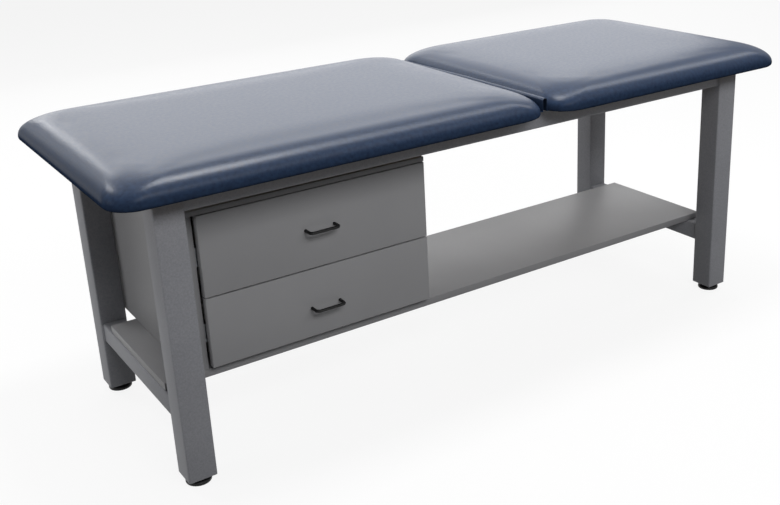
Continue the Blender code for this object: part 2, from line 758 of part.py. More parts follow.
def plunger_bracket():
    """A plate on the cross bar with two drilled ears that guide the plunger."""
    wall = support_bar_x - CROSS_BAR_WIDTH / 2 - FIT_GAP
    low_y = BRACKET_OFFSET
    high_y = BRACKET_OFFSET + BRACKET_LENGTH
    low_z = plunger_z - BRACKET_REACH
    made = block(
        "plunger_bracket",
        (wall - BRACKET_PLATE, low_y, low_z), (wall, high_y, FRAME_HEIGHT - FIT_GAP),
        zinc_steel,
    )
    ear_start = plunger_x - BRACKET_REACH
    ear_size = (wall - BRACKET_PLATE / 2 - ear_start, BRACKET_PLATE, 2 * BRACKET_REACH)
    for index, ear_y in enumerate((low_y + BRACKET_PLATE / 2, high_y - BRACKET_PLATE / 2)):
        name = f"plunger_ear_{index}"
        place = (ear_start + ear_size[0] / 2, ear_y, plunger_z)
        combine(made, tool(name, block_mesh(name, ear_size), place), "UNION")
    guide = cylinder_mesh("plunger_guide", PLUNGER_ROD + 2 * PIN_GAP, 2 * BRACKET_LENGTH)
    place = (plunger_x, (low_y + high_y) / 2, plunger_z)
    combine(made, tool("plunger_guide", guide, place, ALONG_Y), "DIFFERENCE")


def padded_top():
    backrest = pivot("backrest_hinge_axis", (SPLIT_X, 0.0, hinge_z))
    board("main_board", pad_left, main_end)
    pad("main_pad", pad_left, main_end)
    board("back_board", back_start, pad_right, backrest)
    pad("back_pad", back_start, pad_right, backrest)
    vinyl_bridge()
    hinge_end = rail_inner_y - HINGE_RAIL_GAP
    hinge("front_hinge", -hinge_end, backrest)
    hinge("back_hinge", hinge_end - HINGE_LENGTH, backrest)
    index_plate(backrest)
    index_plunger()
    plunger_bracket()


frame()
shelf_and_cabinet()
drawer("lower", lower_front_bottom, LOWER_FRONT_HEIGHT, LOWER_PULL_DROP)
drawer("upper", upper_front_bottom, upper_front_height, 0.0)
padded_top()
bpy.context.view_layer.update()
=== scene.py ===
import json
import math

import bmesh
import bpy
from mathutils import Matrix, Vector


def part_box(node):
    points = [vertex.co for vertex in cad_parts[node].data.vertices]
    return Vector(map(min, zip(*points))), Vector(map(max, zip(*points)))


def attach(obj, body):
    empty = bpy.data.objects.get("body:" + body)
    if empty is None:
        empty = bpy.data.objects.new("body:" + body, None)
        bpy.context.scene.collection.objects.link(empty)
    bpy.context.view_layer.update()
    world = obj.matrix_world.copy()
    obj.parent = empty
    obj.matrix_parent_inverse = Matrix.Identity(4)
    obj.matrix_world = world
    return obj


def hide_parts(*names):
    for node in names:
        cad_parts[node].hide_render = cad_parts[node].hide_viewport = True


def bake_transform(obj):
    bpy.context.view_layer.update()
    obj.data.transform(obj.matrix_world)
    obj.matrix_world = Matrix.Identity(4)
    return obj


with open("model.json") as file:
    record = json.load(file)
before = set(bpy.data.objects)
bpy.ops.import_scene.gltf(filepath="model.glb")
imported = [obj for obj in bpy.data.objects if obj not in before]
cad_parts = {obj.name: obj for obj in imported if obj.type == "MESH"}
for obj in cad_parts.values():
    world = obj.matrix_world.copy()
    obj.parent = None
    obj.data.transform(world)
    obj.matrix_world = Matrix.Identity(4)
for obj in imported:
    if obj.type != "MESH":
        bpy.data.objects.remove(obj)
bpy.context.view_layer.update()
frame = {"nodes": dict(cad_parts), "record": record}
print("frame loaded:", len(frame["nodes"]), "nodes")

# The part of a noise pattern's range that holds nearly all of it.
patternSpan = (0.3, 0.7)
# Points closer than this, in metres, count as one.
tiny = 1e-6
# Share of a direction that has to lie on an axis for it to count as along it.
nearlyAlong = 0.99


def linear(hexText):
    # sRGB hex to the linear colour that sockets take
    shares = [int(hexText[i:i + 2], 16) / 255 for i in (1, 3, 5)]
    return tuple(s / 12.92 if s <= 0.04045 else ((s + 0.055) / 1.055) ** 2.4 for s in shares) + (1.0,)


def addNode(tree, kind, settings=None, links=None):
    # settings name either a property of the node or one of its sockets
    made = tree.nodes.new(kind)
    for key, value in (settings or {}).items():
        if isinstance(key, str) and hasattr(made, key):
            setattr(made, key, value)
        else:
            made.inputs[key].default_value = value
    for socket, source in (links or {}).items():
        tree.links.new(source, made.inputs[socket])
    return made


def startMaterial(name, sockets):
    finish = bpy.data.materials.new(name)
    finish.use_nodes = True
    shader = finish.node_tree.nodes["Principled BSDF"]
    for socket, value in sockets.items():
        shader.inputs[socket].default_value = value
    place = addNode(finish.node_tree, "ShaderNodeTexCoord").outputs["Object"]
    return finish, finish.node_tree, shader, place


def dressShader(tree, shader, look, toneBy, roughBy, bumps):
    # one pattern spreads the two tones, one the roughness, and each bump adds to the one before
    tone = addNode(tree, "ShaderNodeValToRGB", links={"Fac": toneBy})
    for element, at, colour in zip(tone.color_ramp.elements, patternSpan, look["tones"]):
        element.position = at
        element.color = linear(colour)
    low, high = patternSpan
    smoothest, roughest = look["roughness"]
    rough = addNode(
        tree, "ShaderNodeMapRange",
        {"From Min": low, "From Max": high, "To Min": smoothest, "To Max": roughest}, {"Value": roughBy},
    )
    links = {}
    for height, strength, depth in bumps:
        links["Height"] = height
        bump = addNode(tree, "ShaderNodeBump", {"Strength": strength, "Distance": depth}, links)
        links["Normal"] = bump.outputs["Normal"]
    tree.links.new(tone.outputs["Color"], shader.inputs["Base Color"])
    tree.links.new(rough.outputs["Result"], shader.inputs["Roughness"])
    tree.links.new(links["Normal"], shader.inputs["Normal"])


# Navy upholstery vinyl: calendered PVC with an embossed calf grain and a clear topcoat.
# The topcoat gives long soft reflections at a flat angle, the grain breaks them into specks.
# Real grain is about 1 mm, drawn at 3 mm and 9 mm so that it shows at this size.
vinylLook = {
    "tones": ("#242f43", "#2a3951"), "roughness": (0.30, 0.37), "ior": 1.5,
    # the gloss fades out between these two heights: painted shade on the lower roll
    "gloss": 0.3, "paintedShadeFullBelow": 0.712, "paintedShadeEndsAbove": 0.750,
    "grain": 0.003, "grainBump": 0.35, "grainDepth": 0.0002,
    "coarseGrain": 0.009, "coarseDetail": 4.0, "coarseBump": 0.3,
    "waves": 0.11, "waveDetail": 2.0, "waveBump": 0.25, "waveDepth": 0.0009,
}


def makeVinyl():
    look = vinylLook
    finish, tree, shader, place = startMaterial(
        "navy_vinyl_embossed", {"IOR": look["ior"], "Specular IOR Level": look["gloss"]},
    )
    # painted shade: the gloss is faded out by height, so the roll goes dark towards its underside
    height = addNode(tree, "ShaderNodeSeparateXYZ", links={"Vector": place}).outputs["Z"]
    gloss = addNode(
        tree, "ShaderNodeMapRange",
        {"interpolation_type": "SMOOTHSTEP", "From Min": look["paintedShadeFullBelow"],
         "From Max": look["paintedShadeEndsAbove"], "To Min": 0.0, "To Max": look["gloss"]},
        {"Value": height},
    )
    tree.links.new(gloss.outputs["Result"], shader.inputs["Specular IOR Level"])
    grain = addNode(tree, "ShaderNodeTexVoronoi", {"Scale": 1 / look["grain"], "feature": "F1"},
                    {"Vector": place}).outputs["Distance"]
    coarse = addNode(tree, "ShaderNodeTexNoise",
                     {"Scale": 1 / look["coarseGrain"], "Detail": look["coarseDetail"]},
                     {"Vector": place}).outputs["Fac"]
    waves = addNode(tree, "ShaderNodeTexNoise", {"Scale": 1 / look["waves"], "Detail": look["waveDetail"]},
                    {"Vector": place}).outputs["Fac"]
    dressShader(tree, shader, look, coarse, coarse, (
        (grain, look["grainBump"], look["grainDepth"]),
        (coarse, look["coarseBump"], look["grainDepth"]),
        (waves, look["waveBump"], look["waveDepth"]),
    ))
    return finish


# Polyester powder coat with a fine texture, baked on welded steel tube.
# It scatters light softly and shows a salt-and-pepper speckle, drawn at 4 mm instead of 1 mm.
powderLook = {
    "tones": ("#797a7f", "#8f9095"), "roughness": (0.5, 0.64), "ior": 1.5, "gloss": 0.4,
    "speck": 0.0042, "speckDetail": 3.0, "speckRoughness": 0.7, "speckShare": 0.7,
    "cloud": 0.16, "cloudDetail": 2.0, "cloudShare": 0.3,
    "peel": 0.0022, "peelDetail": 2.0, "peelBump": 0.5, "peelDepth": 0.00025,
}


def makePowderCoat():
    look = powderLook
    finish, tree, shader, place = startMaterial(
        "grey_powder_coat_textured", {"IOR": look["ior"], "Specular IOR Level": look["gloss"]},
    )
    speck = addNode(
        tree, "ShaderNodeTexNoise",
        {"Scale": 1 / look["speck"], "Detail": look["speckDetail"], "Roughness": look["speckRoughness"]},
        {"Vector": place},
    ).outputs["Fac"]
    cloud = addNode(tree, "ShaderNodeTexNoise", {"Scale": 1 / look["cloud"], "Detail": look["cloudDetail"]},
                    {"Vector": place}).outputs["Fac"]
    peel = addNode(tree, "ShaderNodeTexNoise", {"Scale": 1 / look["peel"], "Detail": look["peelDetail"]},
                   {"Vector": place}).outputs["Fac"]
    clouded = addNode(tree, "ShaderNodeMath", {"operation": "MULTIPLY", 1: look["cloudShare"]}, {0: cloud})
    mixed = addNode(tree, "ShaderNodeMath", {"operation": "MULTIPLY_ADD", 1: look["speckShare"]},
                    {0: speck, 2: clouded.outputs[0]})
    dressShader(tree, shader, look, mixed.outputs[0], speck, ((peel, look["peelBump"], look["peelDepth"]),))
    return finish


# Melamine-faced particle board, pressed with a pearl finish: an even neutral grey with a low
# silky gloss and a very shallow pebble, 1 mm across and drawn at 3 mm.
laminateLook = {
    "ior": 1.5, "gloss": 0.2, "cloud": 0.25, "cloudDetail": 3.0,
    "pebble": 0.003, "pebbleDetail": 2.0, "pebbleBump": 0.25, "pebbleDepth": 0.0001,
}


def makeLaminate(name, tones, roughness):
    look = {**laminateLook, "tones": tones, "roughness": roughness}
    finish, tree, shader, place = startMaterial(
        name, {"IOR": look["ior"], "Specular IOR Level": look["gloss"]},
    )
    pebble = addNode(tree, "ShaderNodeTexNoise",
                     {"Scale": 1 / look["pebble"], "Detail": look["pebbleDetail"]},
                     {"Vector": place}).outputs["Fac"]
    cloud = addNode(tree, "ShaderNodeTexNoise", {"Scale": 1 / look["cloud"], "Detail": look["cloudDetail"]},
                    {"Vector": place}).outputs["Fac"]
    dressShader(tree, shader, look, cloud, pebble, ((pebble, look["pebbleBump"], look["pebbleDepth"]),))
    return finish


# Painted or moulded black: satin, with a slight unevenness that breaks its glints.
blackLook = {"ior": 1.5, "gloss": 0.22, "unevenDetail": 3.0, "unevenBump": 0.2, "unevenDepth": 0.00015}


def makeBlack(name, tones, roughness, grain):
    look = {**blackLook, "tones": tones, "roughness": roughness}
    finish, tree, shader, place = startMaterial(
        name, {"IOR": look["ior"], "Specular IOR Level": look["gloss"]},
    )
    uneven = addNode(tree, "ShaderNodeTexNoise", {"Scale": 1 / grain, "Detail": look["unevenDetail"]},
                     {"Vector": place}).outputs["Fac"]
    dressShader(tree, shader, look, uneven, uneven, ((uneven, look["unevenBump"], look["unevenDepth"]),))
    return finish


# Bright zinc plate on rolled steel: pale bluish metal with faint streaks along the rolling direction.
# The streaks are about 1 mm across and 40 mm long, the spangle 6 mm.
zincLook = {
    "tones": ("#9ba1a6", "#c3c8cb"), "roughness": (0.28, 0.42), "streaksPerMetre": (900.0, 25.0, 900.0),
    "streakDetail": 3.0, "streakBump": 0.15, "streakDepth": 0.0001, "spangle": 0.006,
}


def makeZinc():
    look = zincLook
    finish, tree, shader, place = startMaterial("zinc_plate_on_steel", {"Metallic": 1.0})
    along = addNode(tree, "ShaderNodeMapping", {"Scale": look["streaksPerMetre"]}, {"Vector": place})
    streak = addNode(tree, "ShaderNodeTexNoise", {"Scale": 1.0, "Detail": look["streakDetail"]},
                     {"Vector": along.outputs["Vector"]}).outputs["Fac"]
    spangle = addNode(tree, "ShaderNodeTexVoronoi", {"Scale": 1 / look["spangle"]},
                      {"Vector": place}).outputs["Distance"]
    dressShader(tree, shader, look, streak, spangle, ((streak, look["streakBump"], look["streakDepth"]),))
    return finish


# Birch plywood, sawn and left raw: long pale grain on the faces and thin plies on the edges.
# The grain runs about 11 mm wide and 170 mm long.
plywoodLook = {
    "tones": ("#a98457", "#cdb083"), "roughness": (0.62, 0.8), "ior": 1.5, "gloss": 0.3,
    "grainPerMetre": (6.0, 90.0, 90.0), "grainDetail": 5.0, "grainWander": 0.6, "grainShare": 0.65,
    "grainBump": 0.3, "grainDepth": 0.0003, "plies": 0.019, "plyWander": 0.3, "plyShare": 0.35,
}


def makePlywood():
    look = plywoodLook
    finish, tree, shader, place = startMaterial(
        "birch_plywood_raw", {"IOR": look["ior"], "Specular IOR Level": look["gloss"]},
    )
    stretched = addNode(tree, "ShaderNodeMapping", {"Scale": look["grainPerMetre"]}, {"Vector": place})
    grain = addNode(
        tree, "ShaderNodeTexNoise",
        {"Scale": 1.0, "Detail": look["grainDetail"], "Distortion": look["grainWander"]},
        {"Vector": stretched.outputs["Vector"]},
    ).outputs["Fac"]
    plies = addNode(
        tree, "ShaderNodeTexWave",
        {"Scale": 1 / look["plies"], "bands_direction": "Z", "Distortion": look["plyWander"]},
        {"Vector": place},
    ).outputs["Fac"]
    grained = addNode(tree, "ShaderNodeMath", {"operation": "MULTIPLY", 1: look["grainShare"]}, {0: grain})
    layered = addNode(tree, "ShaderNodeMath", {"operation": "MULTIPLY_ADD", 1: look["plyShare"]},
                      {0: plies, 2: grained.outputs[0]})
    raised = (grain, look["grainBump"], look["grainDepth"])
    dressShader(tree, shader, look, layered.outputs[0], grain, (raised,))
    return finish


navyVinyl = makeVinyl()
powderCoat = makePowderCoat()
laminateFace = makeLaminate("grey_melamine_pressed", ("#8e8e90", "#939395"), (0.42, 0.52))
laminateEdge = makeLaminate("grey_edge_band_abs", ("#828284", "#89898b"), (0.36, 0.46))
drawerBoard = makeLaminate("white_melamine_pressed", ("#c9c8c4", "#d2d1cd"), (0.4, 0.5))
blackPaint = makeBlack("black_paint_on_steel_wire", ("#0d0d0e", "#151516"), (0.34, 0.46), grain=0.002)
blackPlastic = makeBlack("black_nylon_moulded", ("#0e0e0f", "#18181a"), (0.38, 0.5), grain=0.003)
zincPlate = makeZinc()
rawPlywood = makePlywood()
print("materials made:", len(bpy.data.materials))

# Every CAD node that stays visible takes the finish of its slot.
slotFinish = {
    "navy_vinyl": navyVinyl, "plywood": rawPlywood, "grey_powder_coat": powderCoat,
    "grey_laminate": laminateFace, "drawer_board": drawerBoard, "black_metal": blackPaint,
    "black_plastic": blackPlastic, "zinc_steel": zincPlate,
}
for cadNode in frame["nodes"].values():
    for holder in cadNode.material_slots:
        holder.material = slotFinish[holder.material.name.split(".")[0]]


def keepPiece(shape, name, finishes, body, nodes=(), sharp=35.0):
    # makes the mesh an object, shades it, and hangs it on its body
    bmesh.ops.recalc_face_normals(shape, faces=shape.faces[:])
    mesh = bpy.data.meshes.new(name)
    shape.to_mesh(mesh)
    shape.free()
    for finish in finishes:
        mesh.materials.append(finish)
    mesh.shade_smooth()
    mesh.set_sharp_from_angle(angle=math.radians(sharp))
    piece = bpy.data.objects.new(name, mesh)
    bpy.context.scene.collection.objects.link(piece)
    if body:
        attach(piece, body)
    if nodes:
        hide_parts(*nodes)
    return piece


def vertsIn(geometry):
    return [g for g in geometry if isinstance(g, bmesh.types.BMVert)]


def edgesIn(geometry):
    return [g for g in geometry if isinstance(g, bmesh.types.BMEdge)]


def bevelEdges(shape, edges, width, segments):
    bmesh.ops.bevel(
        shape, geom=edges, offset=width, offset_type="OFFSET", affect="EDGES", segments=segments,
        profile=0.5, material=-1, clamp_overlap=True,
    )


def alongAxis(edge, axis):
    step = edge.verts[1].co - edge.verts[0].co
    return abs(step[axis]) > nearlyAlong * step.length


def startBlock(low, high):
    low, high = Vector(low), Vector(high)
    shape = bmesh.new()
    place = Matrix.Translation((low + high) / 2) @ Matrix.Diagonal((*(high - low), 1.0))
    bmesh.ops.create_cube(shape, size=1.0, matrix=place)
    return shape


# The line that the backrest turns about.
lift = next(j for j in frame["record"]["behaviour"]["joints"] if j["name"] == "backrest_lift")
hinge = Vector(lift["pos_m"])

# Padded sections: vinyl pulled over foam on a board. The flat top turns into a long roll,
# and the vinyl is drawn in underneath.
padLook = {
    "cell": 0.0115, "cornerRadius": 0.066, "topCornerRadius": 0.115, "rollWidth": 0.070,
    "edgeTop": 0.0567, "sideDraw": 0.004, "bandLow": 0.0067, "bandHigh": 0.0087, "tuckWidth": 0.013,
    "hang": 0.0045, "hangFrom": 0.030, "hangFull": 0.090, "boardInset": 0.022, "boardPocket": 0.0193,
    "crown": 0.0025, "crownReach": 0.11, "rollSteps": 14, "tuckSteps": 5, "sharpAngle": 75.0,
    "subdivisions": 1, "fill": 0.85,
}
# How foam pressure swells a section: what stays held, and how far the swell is capped and evened.
swellLook = {
    "heldBelow": 0.00783, "pocketSlack": 0.00001, "frames": 20, "cap": 0.0018, "evenRounds": 12,
    "cloth": {
        "quality": 4, "mass": 0.4, "tension_stiffness": 30.0, "compression_stiffness": 30.0,
        "shear_stiffness": 12.0, "bending_stiffness": 6.0, "use_pressure": True,
        "uniform_pressure_force": 4.0,
    },
}


def padRings():
    # reach out from the flat top, corner radius and height above the board side,
    # down the roll and under it
    look = padLook
    outer, roll = look["cornerRadius"], look["rollWidth"]
    rise = look["edgeTop"] - look["bandHigh"]
    rings = []
    for step in range(1, look["rollSteps"] + 1):
        angle = math.pi / 2 * (1 - step / look["rollSteps"])
        share = math.cos(angle)
        radius = look["topCornerRadius"] + (outer - look["topCornerRadius"]) * share
        rings.append((roll * share, radius, look["bandHigh"] + rise * math.sin(angle)))
    rings.append((roll, outer, look["bandLow"]))
    for step in range(1, look["tuckSteps"] + 1):
        angle = math.pi / 2 * step / look["tuckSteps"]
        drawn = look["tuckWidth"] * (1 - math.cos(angle))
        sunk = look["bandLow"] - (look["bandLow"] + look["hang"]) * math.sin(angle)
        rings.append((roll - drawn, outer - drawn, sunk))
    for height in (0.0, look["boardPocket"]):
        rings.append((roll - look["boardInset"], outer - look["boardInset"], height))
    return rings


def clamped(point, core):
    return Vector([max(-limit, min(limit, place)) for place, limit in zip(point.xy, core)])


def unitShare(value):
    return max(0.0, min(1.0, value))


def startPadTop(half, core):
    # an even grid, with its corners drawn in to arcs and its middle crowned
    look = padLook
    shape = bmesh.new()
    cells = [round(2 * side / look["cell"]) for side in half]
    bmesh.ops.create_grid(shape, x_segments=cells[0], y_segments=cells[1], size=1.0)
    reach = max(v.co.x for v in shape.verts)
    bmesh.ops.scale(shape, vec=(half.x / reach, half.y / reach, 1.0), verts=shape.verts[:])
    for vert in shape.verts:
        centre = clamped(vert.co, core)
        off = vert.co.xy - centre
        wide, deep = abs(off.x), abs(off.y)
        if wide > tiny and deep > tiny:
            far, near = max(wide, deep), min(wide, deep)
            turn = math.pi / 4 * near / far
            across, up = far * math.cos(turn), far * math.sin(turn)
            if deep > wide:
                across, up = up, across
            vert.co.xy = centre + Vector((math.copysign(across, off.x), math.copysign(up, off.y)))
        inner = min(half.x - abs(vert.co.x), half.y - abs(vert.co.y))
        share = unitShare(inner / look["crownReach"])
        vert.co.z = look["edgeTop"] + look["crown"] * math.sin(math.pi / 2 * share)
    return shape


def startPad(low, high):
    look = padLook
    middle = (low + high) / 2
    bothWays = Vector((1.0, 1.0))
    half = Vector((high.x - low.x, high.y - low.y)) / 2 - look["rollWidth"] * bothWays
    half.y -= look["sideDraw"]
    core = half - look["topCornerRadius"] * bothWays
    shape = startPadTop(half, core)
    rim = [e for e in shape.edges if e.is_boundary]
    for reachOut, radius, height in padRings():
        grown = bmesh.ops.extrude_edge_only(shape, edges=rim)["geom"]
        rim = edgesIn(grown)
        nextCore = half + (reachOut - radius) * bothWays
        for vert in vertsIn(grown):
            centre = clamped(vert.co, core)
            out = (vert.co.xy - centre).normalized()
            carried = Vector([place * new / old for place, new, old in zip(centre, nextCore, core)])
            moved = carried + out * radius
            # the rim hangs below the board, but not over the hinges at the split
            away = abs(moved.x + middle.x - hinge.x) - look["hangFrom"]
            share = unitShare(away / (look["hangFull"] - look["hangFrom"]))
            vert.co = (*moved, height if height > 0 else height * share)
        core = nextCore
    pocket = bmesh.ops.edgeloop_fill(shape, edges=rim)["faces"]
    bmesh.ops.triangulate(shape, faces=pocket)
    bmesh.ops.translate(shape, verts=shape.verts[:], vec=(middle.x, middle.y, low.z))
    return shape


def evened(mesh, pushes, rounds):
    # averages each push with its neighbours, so that only broad folds stay
    near = [[] for push in pushes]
    for edge in mesh.edges:
        first, second = edge.vertices
        near[first].append(second)
        near[second].append(first)
    for turn in range(rounds):
        pushes = [(push + sum((pushes[n] for n in others), Vector())) / (len(others) + 1)
                  for push, others in zip(pushes, near)]
    return pushes


def swellPad(piece, floorZ):
    # foam pressure pushes the vinyl out while its tucked underside is held on the board
    look = swellLook
    points = piece.data.vertices
    heldZ, pocketZ = floorZ + look["heldBelow"], floorZ + padLook["boardPocket"]
    held = piece.vertex_groups.new(name="held")
    held.add([v.index for v in points if v.co.z < heldZ or abs(v.co.z - pocketZ) < look["pocketSlack"]],
             1.0, "REPLACE")
    before = [v.co.copy() for v in points]
    cloth = piece.modifiers.new("swell", "CLOTH")
    for setting, value in look["cloth"].items():
        setattr(cloth.settings, setting, value)
    cloth.settings.vertex_group_mass = held.name
    cloth.settings.effector_weights.gravity = 0.0
    cloth.collision_settings.use_collision = False
    scene = bpy.context.scene
    for number in range(1, look["frames"] + 1):
        scene.frame_set(number)
    settled = piece.evaluated_get(bpy.context.evaluated_depsgraph_get())
    after = [v.co.copy() for v in settled.data.vertices]
    piece.modifiers.remove(cloth)
    piece.vertex_groups.remove(held)
    pushes = evened(piece.data, [new - old for new, old in zip(after, before)], look["evenRounds"])
    for vert, old, push in zip(points, before, pushes):
        vert.co = old + push.normalized() * look["cap"] * math.tanh(push.length / look["cap"])
    scene.frame_set(1)
    print(piece.name, "swelled by", round(1000 * max(p.length for p in pushes), 2), "mm before the cap")


def makePad(name, node, body):
    look = padLook
    low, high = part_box(node)
    piece = keepPiece(startPad(low, high), name, [navyVinyl], None, sharp=look["sharpAngle"])
    swellPad(piece, low.z)
    finer = piece.modifiers.new("finer", "SUBSURF")
    finer.levels = finer.render_levels = look["subdivisions"]
    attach(piece, body)
    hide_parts(node)


makePad("main_cushion", "main_pad", "frame")
makePad("back_cushion", "back_pad", "backrest")
print("cushions made")

# The strip between the cushions: one length of the same vinyl, folded to an upturned U.
# On the real table it opens flat when the backrest lifts; this piece stays folded.
bridgeLook = {
    "halfWidth": 0.0071, "thickness": 0.0012, "topDrop": 0.007, "footWidth": 0.0042, "lengthSteps": 48,
    "foldSteps": 14, "wallSteps": 4, "blendReach": 0.040, "backDraw": 0.026, "backSink": 0.006,
    "sharpAngle": 60.0,
}


def makeBridge():
    look = bridgeLook
    low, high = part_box("vinyl_bridge")
    high.y -= look["backDraw"]
    splitX = (low.x + high.x) / 2
    half = look["halfWidth"]
    foldZ = high.z - look["topDrop"] - half
    shape = bmesh.new()
    first = shape.verts.new((splitX + half, low.y, foldZ))
    folded = bmesh.ops.spin(
        shape, geom=[first], cent=(splitX, low.y, foldZ), axis=(0.0, -1.0, 0.0), angle=math.pi,
        steps=look["foldSteps"],
    )["geom_last"]
    last = vertsIn(folded)[0]
    drop = (foldZ - low.z - look["thickness"]) / look["wallSteps"]
    for end, side in ((first, 1.0), (last, -1.0)):
        for step in range(look["wallSteps"]):
            end = bmesh.ops.extrude_vert_indiv(shape, verts=[end])["verts"][0]
            end.co.z -= drop
        end = bmesh.ops.extrude_vert_indiv(shape, verts=[end])["verts"][0]
        end.co.x += side * look["footWidth"]
    front = shape.edges[:]
    stride = (high.y - low.y) / look["lengthSteps"]
    for step in range(look["lengthSteps"]):
        grown = bmesh.ops.extrude_edge_only(shape, edges=front)["geom"]
        front = edgesIn(grown)
        bmesh.ops.translate(shape, verts=vertsIn(grown), vec=(0.0, stride, 0.0))
    # the fold sinks between the cushions towards the back
    for vert in shape.verts:
        back = max(0.0, vert.co.y / high.y)
        vert.co.z -= look["backSink"] * back * (vert.co.z - low.z) / (foldZ + half - low.z)
    bmesh.ops.recalc_face_normals(shape, faces=shape.faces[:])
    bmesh.ops.solidify(shape, geom=shape.faces[:], thickness=look["thickness"])
    piece = keepPiece(shape, "vinyl_hinge_strip", [navyVinyl], None, ["vinyl_bridge"],
                      sharp=look["sharpAngle"])
    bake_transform(piece)


makeBridge()

# Welded frame: square tube with rolled corners. Each tube is closed at its ends by what it meets.
tubeLook = {"cornerRadius": 0.004, "cornerSteps": 4, "endRadius": 0.0007, "endSteps": 2}
tubeAxes = {
    "front_left_leg": 2, "front_right_leg": 2, "back_left_leg": 2, "back_right_leg": 2,
    "front_rail": 0, "back_rail": 0, "left_end_rail": 1, "right_end_rail": 1,
    "left_stretcher": 1, "right_stretcher": 1,
}


def makeTube(node, axis):
    look = tubeLook
    shape = startBlock(*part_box(node))
    runs = [e for e in shape.edges if alongAxis(e, axis)]
    bevelEdges(shape, runs, look["cornerRadius"], look["cornerSteps"])
    ends = [f for f in shape.faces if abs(f.normal[axis]) > nearlyAlong]
    bevelEdges(shape, [e for f in ends for e in f.edges], look["endRadius"], look["endSteps"])
    keepPiece(shape, node + "_tube", [powderCoat], "frame", [node])


for tubeNode, tubeAxis in tubeAxes.items():
    makeTube(tubeNode, tubeAxis)
print("frame tubes made")

# Weld beads where rails and stretchers meet the legs: short rippled fillets under the paint.
beadLook = {"radius": 0.0028, "sides": 8, "pitch": 0.0036, "ripple": 0.1, "fewestSteps": 4}


def startBead(start, end):
    look = beadLook
    run = end - start
    steps = max(look["fewestSteps"], round(run.length / look["pitch"]) * 2)
    turn = Vector((0.0, 0.0, 1.0)).rotation_difference(run).to_matrix().to_4x4()
    shape = bmesh.new()
    bmesh.ops.create_circle(
        shape, cap_ends=True, segments=look["sides"], radius=look["radius"],
        matrix=Matrix.Translation(start) @ turn,
    )
    edges = shape.edges[:]
    for step in range(1, steps + 1):
        grown = bmesh.ops.extrude_edge_only(shape, edges=edges)["geom"]
        edges, verts = edgesIn(grown), vertsIn(grown)
        bmesh.ops.translate(shape, verts=verts, vec=run / steps)
        size = 1 + look["ripple"] if step % 2 else 1 / (1 + look["ripple"])
        centre = start + run * step / steps
        bmesh.ops.scale(shape, vec=(size, size, size), verts=verts, space=Matrix.Translation(-centre))
    bmesh.ops.edgeloop_fill(shape, edges=edges)
    return shape


def beadRuns(node, axis):
    # at each end of the tube, a bead up both sides and one along the bottom
    inset = tubeLook["cornerRadius"]
    low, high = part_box(node)
    cross = 1 - axis
    for at in (low[axis], high[axis]):
        for side in (low[cross], high[cross]):
            start = Vector((0.0, 0.0, low.z + inset))
            start[axis], start[cross] = at, side
            end = start.copy()
            end.z = high.z - inset
            yield start, end
        start = Vector((0.0, 0.0, low.z))
        start[axis], start[cross] = at, low[cross] + inset
        end = start.copy()
        end[cross] = high[cross] - inset
        yield start, end


def makeFrameBeads():
    joined = bmesh.new()
    for node, axis in tubeAxes.items():
        if node.endswith("_leg"):
            continue
        for start, end in beadRuns(node, axis):
            bead = startBead(start, end)
            spare = bpy.data.meshes.new("bead")
            bead.to_mesh(spare)
            bead.free()
            joined.from_mesh(spare)
            bpy.data.meshes.remove(spare)
    keepPiece(joined, "frame_weld_beads", [powderCoat], "frame")


makeFrameBeads()
print("weld beads made")

# Boards: melamine faces, with an edge band glued on and its corners scraped round.
boardLook = {"edgeRadius": 0.0011, "edgeSteps": 3}


def makeBoard(node, thin, body="frame"):
    look = boardLook
    shape = startBlock(*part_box(node))
    bevelEdges(shape, shape.edges[:], look["edgeRadius"], look["edgeSteps"])
    for face in shape.faces:
        face.material_index = 0 if abs(face.normal[thin]) > nearlyAlong else 1
    keepPiece(shape, node + "_board", [laminateFace, laminateEdge], body, [node])


makeBoard("shelf", 2)
for panelNode, thinAxis in (("cabinet_left_panel", 0), ("cabinet_right_panel", 0), ("cabinet_filler", 0),
                            ("cabinet_top_panel", 2), ("cabinet_back_panel", 1)):
    makeBoard(panelNode, thinAxis)
makeBoard("lower_drawer_front", 1, "lower_drawer")
makeBoard("upper_drawer_front", 1, "upper_drawer")
print("boards made")

# Drawer pulls: 8 mm steel wire, bent twice and painted black, screwed on from inside the drawer.
pullLook = {"radius": 0.004, "sides": 24, "bend": 0.009, "bendSteps": 10}


def makePull(node, body):
    look = pullLook
    low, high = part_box(node)
    radius, bend = look["radius"], look["bend"]
    left, right = low.x + radius, high.x - radius
    frontY, z = low.y + radius, (low.z + high.z) / 2
    shape = bmesh.new()
    flat = Matrix.Rotation(math.pi / 2, 4, "X")
    bmesh.ops.create_circle(
        shape, cap_ends=True, segments=look["sides"], radius=radius,
        matrix=Matrix.Translation((left, high.y, z)) @ flat,
    )

    def straight(edges, vec):
        grown = bmesh.ops.extrude_edge_only(shape, edges=edges)["geom"]
        bmesh.ops.translate(shape, verts=vertsIn(grown), vec=vec)
        return edgesIn(grown)

    def bent(edges, centre):
        turned = bmesh.ops.spin(
            shape, geom=edges, cent=centre, axis=(0.0, 0.0, 1.0), angle=math.pi / 2,
            steps=look["bendSteps"],
        )["geom_last"]
        return edgesIn(turned)

    edges = straight(shape.edges[:], (0.0, frontY + bend - high.y, 0.0))
    edges = bent(edges, (left + bend, frontY + bend, z))
    edges = straight(edges, (right - left - 2 * bend, 0.0, 0.0))
    edges = bent(edges, (right - bend, frontY + bend, z))
    edges = straight(edges, (0.0, high.y - frontY - bend, 0.0))
    bmesh.ops.edgeloop_fill(shape, edges=edges)
    bmesh.ops.remove_doubles(shape, verts=shape.verts[:], dist=tiny)
    keepPiece(shape, node + "_wire", [blackPaint], body, [node])


makePull("lower_drawer_pull", "lower_drawer")
makePull("upper_drawer_pull", "upper_drawer")
print("pulls made")

